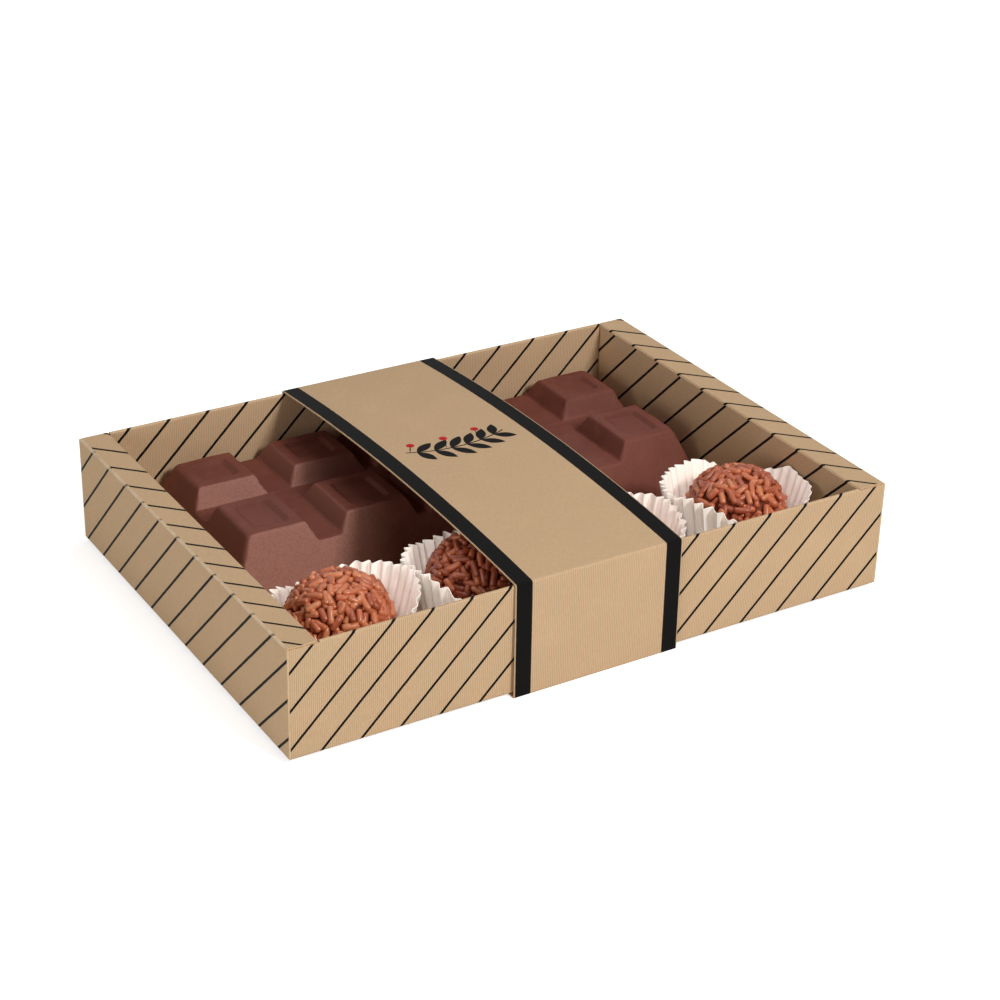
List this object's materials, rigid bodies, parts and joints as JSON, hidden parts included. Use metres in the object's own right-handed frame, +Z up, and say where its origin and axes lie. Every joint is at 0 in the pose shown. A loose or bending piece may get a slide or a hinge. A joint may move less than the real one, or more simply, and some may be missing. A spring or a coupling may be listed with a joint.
{
  "type": "chocolate bar gift box",
  "caption": "Open kraft-board gift tray with hollow end walls, a sliding belly band, a moulded chocolate bar and a row of coated sweets in pleated paper cups.",
  "frame": {"origin": "on the table, under the middle of the tray", "axes": "+X along the row of sweets, from the left end to the right end; +Y from the row of sweets to the bar; +Z up"},
  "size_m": [0.2, 0.1442, 0.0398],
  "materials": {
    "kraft_board": "matte",
    "band_board": "matte",
    "cup_paper": "matte",
    "chocolate": "satin",
    "sprinkles": "matte"
  },
  "bodies": {
    "tray": {"tray_floor": "kraft_board", "front_wall": "kraft_board", "back_wall": "kraft_board", "left_end_wall": "kraft_board", "right_end_wall": "kraft_board", "front_left_corner_flap": "kraft_board", "front_right_corner_flap": "kraft_board", "back_left_corner_flap": "kraft_board", "back_right_corner_flap": "kraft_board"},
    "band": {"belly_band": "band_board"},
    "bar": {"chocolate_bar": "chocolate"},
    "cup_1": {"paper_cup_1": "cup_paper"},
    "ball_1": {"sweet_1": "sprinkles"},
    "cup_2": {"paper_cup_2": "cup_paper", "sweet_2": "sprinkles"},
    "cup_3": {"paper_cup_3": "cup_paper", "sweet_3": "sprinkles"},
    "cup_4": {"paper_cup_4": "cup_paper"},
    "ball_4": {"sweet_4": "sprinkles"}
  },
  "joints": [
    {"name": "band_slide", "type": "slide", "parent": "tray", "child": "band", "axis": [1, 0, 0], "range_m": [-0.13, 0.135]},
    {"name": "bar_lift", "type": "slide", "parent": "tray", "child": "bar", "axis": [0, 0, 1], "range_m": [0, 0.0133]},
    {"name": "cup_1_lift", "type": "slide", "parent": "tray", "child": "cup_1", "axis": [0, 0, 1], "range_m": [0, 0.05]},
    {"name": "sweet_1_lift", "type": "slide", "parent": "cup_1", "child": "ball_1", "axis": [0, 0, 1], "range_m": [0, 0.03]},
    {"name": "cup_2_lift", "type": "slide", "parent": "tray", "child": "cup_2", "axis": [0, 0, 1], "range_m": [0, 0.0045]},
    {"name": "cup_3_lift", "type": "slide", "parent": "tray", "child": "cup_3", "axis": [0, 0, 1], "range_m": [0, 0.0045]},
    {"name": "cup_4_lift", "type": "slide", "parent": "tray", "child": "cup_4", "axis": [0, 0, 1], "range_m": [0, 0.05]},
    {"name": "sweet_4_lift", "type": "slide", "parent": "cup_4", "child": "ball_4", "axis": [0, 0, 1], "range_m": [0, 0.03]}
  ]
}
